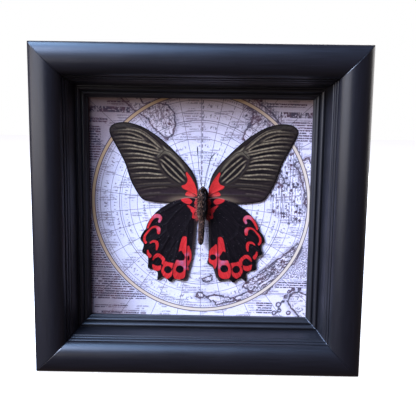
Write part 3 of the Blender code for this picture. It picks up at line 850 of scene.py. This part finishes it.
def scale_texture(finish):
    """The roof-tile scatter of wing scales, and fine streaks that fan from the root."""
    out, up = finish.field("out"), finish.field("up")
    reach = (out * out + (up - 9) * (up - 9)).root()
    fan = (up - 9).apply("ARCTAN2", out) * 40
    tiles = finish.cells(reach * 3.2, fan * 2.4, 0)
    streak = finish.noise(reach * 0.16, fan * 1.5, 0, 3, 0.6)
    soft = finish.noise(out * 0.5, up * 0.5, 3, 3)
    return tiles, streak, soft


def patch(points, outline):
    """Each point's distance inside a rounded outline, negative outside it."""
    return inside(points, smooth(outline + outline[:1], 4)[:-1])


def forewing_fields(points):
    x, z = points.T
    best = np.full(len(points), 1e9)
    strength = np.zeros(len(points))
    for weight, line in FOREWING_RAYS:
        curve = smooth(line, 6)
        gap, along = to_line(points, curve)
        length = lengths(curve)[-1]
        reach = 9.5 if line[-1][0] > 30 else 2.4
        fade = ramp(along * length, -0.24, 2.4) * np.clip((1 - along) * length / reach + 0.12, 0, 1)
        nearer = gap < best
        best[nearer] = gap[nearer]
        strength[nearer] = (weight * fade)[nearer]
    return {
        "ray": best,
        "ray_strength": strength,
        "red": np.max([patch(points, outline) for outline in FOREWING_RED], axis=0),
        "bar": brushed(points, CELL_BAR),
        "plum": ramp(z, 14.4, -2.6) * ramp(x, 9, 6),
        "beige": hump(z - 0.18 * (22 - x), 5.2, 2.3) * hump(x, 15, 7),
        "tip": ramp(x, 44, 12),
        "olive": hump(x, 50, 9) * hump(z, 52.6, 2.2),
        "blush": hump(x, 7, 4) * hump(z, 8.8, 1.3),
    }


def forewing_scales():
    """Brown-black with pale rays beside each vein, a red root and a buff hind edge."""
    finish = Finish("forewing_scales", roughness=0.7, specular_ior_level=0.08)
    mix, field = finish.mix, finish.field
    tiles, streak, soft = scale_texture(finish)
    jitter = streak * 0.34 + tiles * 0.2 - 0.27
    vein, edge, strength = field("vein"), field("edge"), field("ray_strength")
    flank = (vein - 0.62).abs().rise(0.5, 0.1) * edge.rise(1, 4)
    gap = field("ray") + jitter
    valley = gap.rise(0.4, 0.7) * gap.rise(2, 1.2) * strength.root()
    ray = gap.rise(0.7, 0.18) * strength * (field("tip") * -0.5 + 1)
    bar = (field("bar") + jitter).rise(-0.7, 0.5)
    red = (field("red") + jitter * 0.8).rise(-0.2, 0.25)
    crimson = mix(streak.rise(0.35, 0.7), (184, 34, 34), (222, 58, 52))
    tone = finish.coats(
        (27, 19, 18), (streak.rise(0.3, 0.7), (50, 39, 35)),
        (field("plum"), mix(soft, (30, 19, 22), (54, 40, 42))), (field("olive") * 0.25, (84, 77, 64)),
        (field("beige") * 0.9, (112, 94, 74)), (flank * 0.22, (64, 55, 47)), (valley * 0.9, (13, 9, 10)),
        (bar * 0.72, mix(streak.rise(0.3, 0.7), (88, 78, 62), (118, 107, 86))),
        (ray, mix(soft.rise(0.35, 0.65), (114, 98, 78), (150, 133, 105))),
        ((vein + jitter * 0.4).line(0.3, 0.14) * 0.85, (50, 41, 34)),
        ((edge + jitter).rise(1.5, 0.3) * 0.75, (16, 12, 11)),
        (red, mix(field("blush") * streak.rise(0.42, 0.6) * 0.6, crimson, (204, 128, 116))),
        (tiles.rise(0.35, 0.75) * 0.22, (12, 10, 10)))
    return finish.done(tone, streak * 0.2 + 0.5, tiles * 0.5 + streak * 0.5, 0.05)


def hindwing_fields(label):
    def fields(points):
        low = points - np.array([0, ANAL_LIFT[label]]) * ramp(points[:, 1], -30, -6)[:, None]
        shapes = [patch(low, outline) for outline in HINDWING_BLOCKS + ANAL_BLOCKS[label]]
        shapes += [patch(points, outline) for outline in HINDWING_BASE_RED]
        shapes += [brushed(points, stroke) for stroke in HINDWING_STROKES]
        red = np.max(shapes, axis=0)
        for x, z, wide, tall in HINDWING_SPOTS + [ANAL_SPOTS[label]]:
            spread = np.hypot((low[:, 0] - x) / wide, (low[:, 1] - z) / tall)
            red = np.minimum(red, (spread - 1) * min(wide, tall))
        pink = sum(hump(low[:, 0], x, spread) * hump(low[:, 1], z, spread) for x, z, spread in PINK_PLACES)
        return {
            "red": red,
            "lead": to_line(points, smooth(HINDWING[0][:4], 5))[0],
            "split": np.min([to_line(low, line)[0] for line in RED_SPLITS], axis=0),
            "pink": np.clip(pink, 0, 1),
            "margin": to_line(points, smooth(INNER_MARGIN[label], 5))[0],
        }
    return fields


def hindwing_scales():
    """Velvet black with crimson crescents and ringed spots, pink where the scales thin."""
    finish = Finish("hindwing_scales", roughness=0.7, specular_ior_level=0.08)
    field = finish.field
    tiles, streak, soft = scale_texture(finish)
    jitter = streak * 0.3 + tiles * 0.2 - 0.25
    out, up = field("out"), field("up")
    dust = finish.cells(finish.x * 0.7, 3, finish.z * 0.7).rise(0.16, 0.1) * soft.rise(0.45, 0.55)
    red = (field("red") + jitter * 0.7).rise(-0.16, 0.2)
    crimson = finish.coats(
        (180, 32, 34), (streak.rise(0.3, 0.72), (214, 50, 50)),
        (field("pink") * 0.85, finish.mix(soft.rise(0.4, 0.6), (206, 92, 104), (184, 108, 138))),
        ((field("split") + jitter * 0.3).line(0.3, 0.18) * 0.62, (96, 18, 26)))
    buff = (field("lead") + jitter * 0.5).rise(0.75, 0.25) * out.rise(19, 11)
    notch = finish.noise(out * 0.32, up * 0.32, 8, 1).rise(0.5, 0.6)
    fringe = field("edge").rise(0.2, 0.06) * notch * (out - up * 0.6).rise(26, 34)
    tone = finish.coats(
        (8, 5, 7), (streak.rise(0.42, 0.75), (33, 24, 28)), (dust * 0.55, (120, 108, 112)),
        (field("vein").rise(0.4, 0.1) * 0.12, (46, 37, 38)),
        ((field("margin") + jitter * 2).rise(1.9, 0.5) * 0.8, (62, 50, 48)), (red, crimson),
        (buff * 0.75, (166, 118, 104)), (fringe * 0.6, (190, 160, 134)),
        (tiles.rise(0.35, 0.75) * 0.2, (8, 6, 8)))
    return finish.done(tone, streak * 0.2 + 0.52, tiles * 0.5 + streak * 0.5, 0.05)


def forewing_drape(x, z):
    belly = 0.14 * np.sin(ramp(x, 0, 56) * math.pi)
    return 0.2 * ramp(x, 38, 20) ** 2 + 0.12 * ramp(z, 14, -12) ** 2 - belly


def hindwing_drape(x, z):
    reach = np.hypot(x - 5, z)
    wave = 0.28 * np.sin(np.arctan2(x - 5, -z) * 12.5 + 0.6) * ramp(reach, 20, 20)
    crease = 4 + np.clip((-z - 26) * 0.16, 0, 3)
    fold = 0.9 * np.exp(-np.clip(x - crease, 0, 20) / 1.2) * ramp(z, -2, -8)
    return wave + fold + 0.5 * ramp(reach, 30, 18) ** 2


def build_wings():
    fore, hind = forewing_scales(), hindwing_scales()
    ray_lines = [line for _, line in FOREWING_RAYS]
    for side, label in SIDES:
        build_wing("forewing", side, label, smooth(FOREWING, 5), FOREWING_VEINS, ray_lines, FOREWING_DEPTH,
                   forewing_drape, 0.08, forewing_fields, fore)
        outline = [np.array(HINDWING[0][0])]
        for run in HINDWING + [INNER_MARGIN[label]]:
            outline += smooth(run, 5)[1:]
        build_wing("hindwing", side, label, outline, HINDWING_VEINS, [], HINDWING_DEPTH,
                   hindwing_drape, 0.05, hindwing_fields(label), hind)


# ---------------- body

BODY_LOW, BODY_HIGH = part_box("butterfly_body")
BODY_DEPTH = (depth_of(BODY_LOW[1]) + depth_of(BODY_HIGH[1])) / 2
LEAN_TOP = 4
ABDOMEN_LEAN = math.tan(math.radians(2))
SEGMENT = 2.35
# Barrels as (height, radius).
THORAX = [(11.8, 0.6), (11.3, 1.3), (10.4, 1.9), (8.5, 2.35), (6, 2.6), (3, 2.75), (0, 2.65), (-2.5, 2.35),
          (-4.2, 1.8), (-5.2, 0.9)]
ABDOMEN = [(-3.6, 0.9), (-4.4, 1.6), (-5.4, 1.85), (-8, 1.95), (-12, 2), (-15.5, 1.95), (-18, 1.85),
           (-20, 1.65), (-21.2, 1.2), (-21.9, 0.6)]
SKULL = [(15.5, 0.5), (15.1, 1.15), (14.3, 1.6), (13.2, 1.75), (12.2, 1.45), (11.6, 0.9)]
# A shoulder as (x, height), and a palp as (x, forward, height).
SHOULDER = [(0.5, 14), (1.7, 13), (2.6, 10), (2.8, 6), (2.7, 1), (2.1, -3)]
PALP = [(0.45, 1.6, 12.6), (0.7, 2.2, 13.6), (0.62, 2.35, 14.8), (0.4, 2.1, 15.8)]
# Legs as (height of the hip, reach), and each leg's joints as (out, height above its hip, forward).
LEGS = [(9.2, 0.78), (6.2, 0.95), (3.2, 1.05)]
LEG_FOLD = [(1.1, 0, 2.3), (2.3, -1.3, 3.3), (1.3, -2.8, 3.9), (0.9, -4.6, 3.65), (1.25, -5.8, 3.35)]
LEG_THICKNESS = (0.36, 0.32, 0.27, 0.22, 0.16)
# Antennae as (x, height), and their club as places along the shaft with the radius at each.
ANTENNAE = {
    "left": [(-0.9, 15.6), (-1.5, 18.6), (-2.2, 23), (-2.8, 28), (-3.15, 33), (-3.5, 36.5), (-3.7, 40.4)],
    "right": [(0.9, 15.6), (1.3, 19), (2, 22.8), (2.9, 26.6), (3.8, 29.7), (4.4, 32.4), (5.5, 34.2),
              (7.2, 35.9)],
}
CLUB = ((0, 0.03, 0.74, 0.86, 0.95, 1), (0.24, 0.17, 0.17, 0.34, 0.38, 0.14))


def by_body(x, depth, z):
    """A point from the butterfly's midline and the middle of its body's depth."""
    return at(BODY_X + x, BODY_DEPTH + depth, z)


def lean_at(z):
    """How far the abdomen has swung to the left at a height."""
    return max(0, LEAN_TOP - z) * ABDOMEN_LEAN


def body_skin():
    """Brown-black cuticle under short scales; painted shade darkens the side away from the light, and pale
    flecks mark the lit side.
    """
    finish = Finish("body_cuticle", roughness=0.75, specular_ior_level=0.15)
    x, y, z, mix = finish.x, finish.y, finish.z, finish.mix
    fur = finish.noise(x * 2.4, y * 2.4, z * 0.9, 4, 0.6)
    fleck = finish.cells(x * 1.2, y * 1.2, z * 0.8).rise(0.5, 0.25) * fur.rise(0.42, 0.55)
    lit = (x - BODY_X + (z - LEAN_TOP).least(0) * -ABDOMEN_LEAN).rise(0.9, -0.9)
    dark, light = [mix(fur.rise(0.3, 0.7), *tones)
                   for tones in (((12, 9, 9), (38, 29, 26)), ((24, 14, 13), (62, 42, 34)))]
    tone = finish.coats(mix(finish.field("tone"), dark, light),
                        # Painted shade on the side away from the light; the abdomen's tip is black.
                        ((lit.flip() * 0.7).most(z.rise(-20.2, -21)), (9, 7, 7)),
                        # Pale hair flecks, shown only on the lit side as painted light.
                        (fleck * lit * z.rise(12.4, 10.8) * z.rise(-9, -2) * 0.8, (158, 122, 92)))
    return finish.done(tone, fur * 0.3 + 0.5, fur, 0.12)


def hair_finish(name, dark, light):
    finish = Finish(name, roughness=0.6, specular_ior_level=0.15)
    drift = finish.noise(*finish.solid(1.1)).rise(0.3, 0.7)
    return finish.done(finish.mix(finish.field("tone") * 0.7 + drift * 0.3, dark, light), drift * 0.2 + 0.5)


def spindle(shape, stations, tone, rng, ridged=False):
    """A smooth barrel through (height, radius) stations, with segment rings where ridged."""
    path, radii = [], []
    for z, radius in spaced(smooth(stations, 8), 0.28):
        path.append(by_body(-lean_at(z), 0, z))
        groove = 0.11 * hump((z - 1) / SEGMENT % 1, 0.5, 0.12) * min(1, radius) if ridged else 0
        radii.append(radius - groove)
    shape.tube(path, radii, 28, tone, lambda: rng.uniform(-0.012, 0.012))


def build_body():
    """Head with eyes, palps and coiled tongue, furred thorax with folded legs, and a ringed abdomen."""
    rng = random.Random(7)
    skin = body_skin()
    trunk, eyes, mouth = Shape(), Shape(), Shape()
    spindle(trunk, THORAX, 0.15, rng)
    spindle(trunk, ABDOMEN, 0.62, rng, ridged=True)
    spindle(trunk, SKULL, 0.1, rng)
    for side in (-1, 1):
        shoulder = [by_body(side * x, 1.9, z) for x, z in smooth(SHOULDER, 6)]
        swell = np.sin(np.linspace(0.08, math.pi - 0.08, len(shoulder))) ** 0.4 * 0.95
        trunk.tube(shoulder, swell, 16)

        centre = by_body(side * 1.25, -0.7, 13.7)
        turn = Vector((side * 0.75, -0.6, 0.25)).normalized()
        stops = [math.radians(a) for a in range(-88, 89, 11)]
        eyes.tube([centre + turn * (math.sin(a) * 0.85 * MM) for a in stops],
                  [1.02 * math.cos(a) for a in stops], 22)

        path = [by_body(side * x, -front, z) for x, front, z in smooth(PALP, 4)]
        mouth.tube(path, np.interp(np.linspace(0, 1, len(path)), [0, 0.4, 1], [0.3, 0.42, 0.14]), 10, 0.3)
    coil = []
    for t in np.linspace(0, 1, 56):
        angle, radius = t * 2.6 * 2 * math.pi, 0.28 + 0.62 * t
        coil.append(by_body(0, -2.25 - radius * math.cos(angle) * 0.9, 12.5 + radius * math.sin(angle)))
    mouth.tube(coil, np.linspace(0.07, 0.13, 56))
    glass = Finish("compound_eye", roughness=0.16, specular_ior_level=0.6, coat_weight=0.5,
                   coat_roughness=0.1)
    facets = glass.cells(*glass.solid(14), 0.3)
    glass.done(glass.mix(facets.rise(0.2, 0.5), (44, 34, 30), (14, 11, 11)), None, facets, 0.02)
    trunk.piece("butterfly_trunk", skin, "body_scales", "butterfly_body", 60)
    eyes.piece("butterfly_eyes", glass, "body_scales")
    mouth.piece("butterfly_mouthparts", skin, "body_scales")
    build_legs(skin)
    build_fur(rng)


def build_legs(skin):
    """Six jointed legs, drawn up and folded over the thorax as a dried specimen's are."""
    legs = Shape()
    for side in (-1, 1):
        for hip, reach in LEGS:
            joints = [by_body(side * out * (0.85 + 0.1 * reach), -front, hip + rise * reach)
                      for out, rise, front in LEG_FOLD]
            for start, end, thick, thin in zip(joints, joints[1:], LEG_THICKNESS, LEG_THICKNESS[1:]):
                path = [start.lerp(end, t) for t in (0, 0.12, 0.5, 0.88, 1)]
                legs.tube(path, [thick * 0.8, thick, (thick + thin) / 2 * 1.1, thin, thin * 0.9], 8, 0.9)
    legs.piece("butterfly_legs", skin, "body_scales")


def fur_patch(shape, rng, count, place, length, radius, tones=(0, 1)):
    """Hairs from place(), which gives a root and an outward direction, swept towards the tail."""
    for _ in range(count):
        root, away = place()
        sweep = Vector((rng.uniform(-0.35, 0.35), rng.uniform(-0.2, 0.2), -0.9))
        reach = (away * rng.uniform(0.25, 0.6) + sweep).normalized() * rng.uniform(0.6, 1) * length * MM
        sag = away * rng.uniform(0.05, 0.2) * length * MM
        thickness = radius * rng.uniform(0.7, 1.2)
        shape.hair(root - away * 0.05 * MM, root + reach, sag, thickness, rng.uniform(*tones))


def build_fur(rng):
    """Pale and dark hairs on the thorax, red ones at the wing roots, and a short nap on the abdomen."""

    def around(stations, heights, first, last, tilt=0):
        """A way to pick roots on a barrel of (height, radius) stations, between heights and angles."""
        levels, girths = np.array(sorted(stations)).T

        def place():
            z = rng.uniform(*heights)
            angle = rng.uniform(math.radians(first), math.radians(last))
            radius = np.interp(z, levels, girths)
            away = Vector((math.cos(angle), math.sin(angle), tilt)).normalized()
            return by_body(away.x * radius - lean_at(z), away.y * radius, z), away
        return place

    def thorax(last=355):
        return around(THORAX, (-4.6, 11), 185, last)

    abdomen = around(ABDOMEN, (-20.5, -4.5), 175, 300)
    head = around([(11.8, 1.02), (13.4, 1.5), (15.2, 0.96)], (11.8, 15.2), 190, 350, 0.2)
    dark, pale, red, fringe = Shape(), Shape(), Shape(), Shape()
    fur_patch(dark, rng, 1500, thorax(), 1.9, 0.07)
    fur_patch(dark, rng, 260, head, 1.2, 0.06)
    # The pale hairs are set on the side that faces the light and not on the far side, as painted light; the
    # dark ones cover the whole front.
    fur_patch(pale, rng, 240, thorax(275), 1.5, 0.08)
    fur_patch(pale, rng, 240, abdomen, 0.85, 0.07, (0, 0.35))
    fur_patch(pale, rng, 70, thorax(262), 1.3, 0.2, (0.4, 1))
    fur_patch(pale, rng, 46, abdomen, 1, 0.2, (0, 0.8))
    fur_patch(pale, rng, 64, thorax(285), 1.9, 0.3, (0.5, 1))
    fur_patch(pale, rng, 9, head, 1.3, 0.36, (0.7, 1))
    for side, label in SIDES:
        for _ in range(460):
            z = rng.uniform(-5.5, 8)
            root = at(BODY_X + side * rng.uniform(1.9, 3.3), HINDWING_DEPTH - rng.uniform(-0.2, 1.4), z)
            reach = Vector((side * rng.uniform(0.9, 2.6), rng.uniform(-0.5, 0.2), rng.uniform(-2.2, 0.5)))
            red.hair(root, root + reach * MM, Vector((0, -0.25 * MM, 0)), 0.085, rng.random())
        for x, z in spaced(smooth(INNER_MARGIN[label], 6), 0.16):
            root = at(BODY_X + side * (x + 0.35), HINDWING_DEPTH + 0.25 + 0.02 * abs(z), z)
            reach = Vector((-side * rng.uniform(0.3, 1.1), rng.uniform(-0.2, 0.5), rng.uniform(-1.1, -0.1)))
            fringe.hair(root, root + reach * MM, Vector((0, -0.1 * MM, 0)), 0.05, rng.random())
    for shape, name, finish, low, high, slot in (
            (dark, "body_hair_dark", "dark_hair", (9, 6, 7), (38, 27, 24), "body_scales"),
            (pale, "body_hair_pale", "pale_hair", (60, 32, 26), (186, 142, 118), "body_scales"),
            (red, "wing_root_hair", "red_hair", (70, 18, 20), (206, 82, 74), "body_scales"),
            (fringe, "wing_margin_hair", "margin_hair", (36, 28, 28), (112, 98, 92), "hindwing_scales")):
        shape.piece(name, hair_finish(finish, low, high), slot, crease=80)


def build_antennae():
    """Fine ringed shafts that swell into long clubs."""
    depth = sum(depth_of(corner[1]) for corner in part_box("antenna_left")) / 2
    horn = Finish("antenna_horn", roughness=0.42, specular_ior_level=0.4)
    ring = (horn.z / 0.55).stripes().rise(0.42, 0.48)
    horn.done(horn.mix(ring * 0.5, (20, 16, 16), (70, 58, 48)), ring * 0.2 + 0.36)
    for label, route in ANTENNAE.items():
        line = spaced(smooth(route, 8), 0.25)
        count = len(line)
        path = [at(BODY_X + x, depth + 0.4 * math.sin(i / count * 3), z) for i, (x, z) in enumerate(line)]
        radii = np.interp(np.linspace(0, 1, count), *CLUB) * (1 + 0.07 * np.sin(np.arange(count) * 2.9))
        shaft = Shape()
        shaft.tube(path, radii, 10)
        shaft.piece("antenna_shaft_" + label, horn, "antenna_black", "antenna_" + label, 60)


# ---------------- back of the frame


def hardboard():
    """Brown hardboard: matted fibres and a few rubbed, lighter places."""
    finish = Finish("hardboard", roughness=0.78)
    x, z = finish.x, finish.z
    fibre = finish.noise(x * 1.1, finish.y, z * 1.1, 6, 0.75)
    screen = (x / 1.3).stripes().rise(0.2, 0.45) * (z / 1.3).stripes().rise(0.2, 0.45)
    rub = finish.noise(x * 0.05, 4, z * 0.07, 6, 0.7).rise(0.45, 0.8)
    tone = finish.coats((92, 66, 44), (fibre.rise(0.3, 0.7), (140, 106, 74)), (rub * 0.2, (160, 128, 94)),
                        (screen * 0.3, (74, 52, 34)))
    return finish.done(tone, fibre * 0.2 + 0.66, fibre * 0.6 + screen * 0.4, 0.14)


def plated_steel(name, tint, dull):
    """Zinc-plated steel: soft mottled bloom and fine drawn scratches."""
    finish = Finish(name, roughness=0.42, metallic=0.85)
    bloom = finish.noise(*finish.solid(0.8), 4)
    drawn = finish.noise(finish.x * 0.4, finish.y * 6, finish.z * 6, 3, 0.7)
    tone = finish.mix(bloom.rise(0.35, 0.7), tint, dull)
    return finish.done(tone, bloom * 0.2 + drawn * 0.15 + 0.27, drawn, 0.02)


def foam():
    """White mounting foam with small open cells."""
    finish = Finish("mounting_foam", roughness=0.9)
    pores = finish.cells(*finish.solid(2.6))
    return finish.done(finish.mix(pores.rise(0.2, 0.6), (206, 202, 190), (232, 229, 220)), None, pores, 0.15)


def finish_hardware():
    """Gives the CAD nodes that stay in view their finishes."""
    zinc = plated_steel("zinc_steel", (168, 170, 174), (122, 125, 132))
    brassy = plated_steel("hanger_steel", (178, 164, 126), (128, 114, 82))
    for start, finish, slot in (
            ("framers_point", zinc, "zinc_steel"), (("hanger_nail", "sawtooth"), brassy, "hanger_steel"),
            ("backing_board", hardboard(), "hardboard"), ("mounting_pad", foam(), "mounting_foam")):
        for node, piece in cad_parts.items():
            if node.startswith(start):
                piece.data.materials.clear()
                piece.data.materials.append(finish.mat)


# ---------------- stage

# Softboxes, as (name, place from the frame's centre, size, power, linear colour), in metres and watts.
LIGHTS = [
    ("main_window", (-0.819, -0.63, 0.7875), (0.6, 0.45), 52, (0.62, 0.72, 1)),
    ("left_window", (-0.82, -0.57, 0.05), (1.4, 0.3), 4.3, (1, 0.95, 0.93)),
    ("sky", (-0.32, -0.57, 0.8), (0.6, 0.7), 8.2, (0.3, 0.53, 1)),
    ("high_sky", (-0.38, -0.14, 0.95), (0.42, 0.44), 6, (0.33, 0.57, 1)),
    ("back_sky", (-0.45, 0.12, 0.9), (0.4, 0.35), 5, (0.45, 0.66, 1)),
    ("rear_fill", (0.15, 1.2, 0.35), (0.9, 0.9), 11, (1, 0.98, 0.96)),
    ("right_fill", (1, 0.4, 0.3), (0.8, 0.8), 6, (1, 0.98, 0.96)),
]
FLOOR_SIZE = 6
FLOOR_DROP = 0.0002
FLOOR_TONES = ((0.86, 0.86, 0.87, 1), (0.9, 0.9, 0.91, 1))
ROOM_COLOR = (0.1, 0.075, 0.085, 1)
CAMERA_PLACE = (0.0098, -0.3987, 0.1672)
CAMERA_TURN = (81.27602, -0.76198, 0.74845)
CAMERA_LENS = 55.618


def add_object(name, data, place, turn):
    obj = bpy.data.objects.new(name, data)
    bpy.context.scene.collection.objects.link(obj)
    obj.location = place
    obj.rotation_euler = turn
    return obj


def build_stage():
    """A pale floor, cool softboxes above and to the left, fills behind and to the right, and the camera."""
    scene = bpy.context.scene
    finish = Finish("studio_floor", roughness=0.9, specular_ior_level=0, emission_strength=0.85)
    haze = finish.noise(finish.x * 0.01, finish.y * 0.01, 0)
    finish.done(finish.mix(haze, *FLOOR_TONES))
    finish.shader.inputs["Emission Color"].default_value = (1, 1, 1, 1)
    bpy.ops.mesh.primitive_plane_add(size=FLOOR_SIZE, location=(0, 0, -FLOOR_DROP))
    floor = bpy.context.object
    floor.name = "studio_floor"
    floor.data.materials.append(finish.mat)
    floor.visible_glossy = False
    floor.visible_diffuse = False

    for name, away, size, power, color in LIGHTS:
        data = bpy.data.lights.new(name, "AREA")
        data.shape = "RECTANGLE"
        data.size, data.size_y = size
        data.energy = power
        data.color = color
        facing = (-Vector(away)).to_track_quat("-Z", "Y").to_euler()
        add_object(name, data, Vector((0, 0, HALF * MM)) + Vector(away), facing)

    world = bpy.data.worlds.new("studio")
    scene.world = world
    world.use_nodes = True
    tree = world.node_tree
    tree.nodes.clear()
    rays = tree.nodes.new("ShaderNodeLightPath")
    choose = tree.nodes.new("ShaderNodeMixShader")
    output = tree.nodes.new("ShaderNodeOutputWorld")
    tree.links.new(rays.outputs["Is Camera Ray"], choose.inputs[0])
    for slot, color in ((1, ROOM_COLOR), (2, (1, 1, 1, 1))):
        sky = tree.nodes.new("ShaderNodeBackground")
        sky.inputs["Color"].default_value = color
        tree.links.new(sky.outputs[0], choose.inputs[slot])
    tree.links.new(choose.outputs[0], output.inputs[0])

    data = bpy.data.cameras.new("camera")
    data.lens = CAMERA_LENS
    data.sensor_width = 36
    data.sensor_fit = "HORIZONTAL"
    data.clip_start = 0.01
    scene.camera = add_object("camera", data, CAMERA_PLACE, [math.radians(a) for a in CAMERA_TURN])
    scene.view_settings.view_transform = "Standard"


build_moulding()
build_card()
build_wings()
build_body()
build_antennae()
finish_hardware()
build_stage()
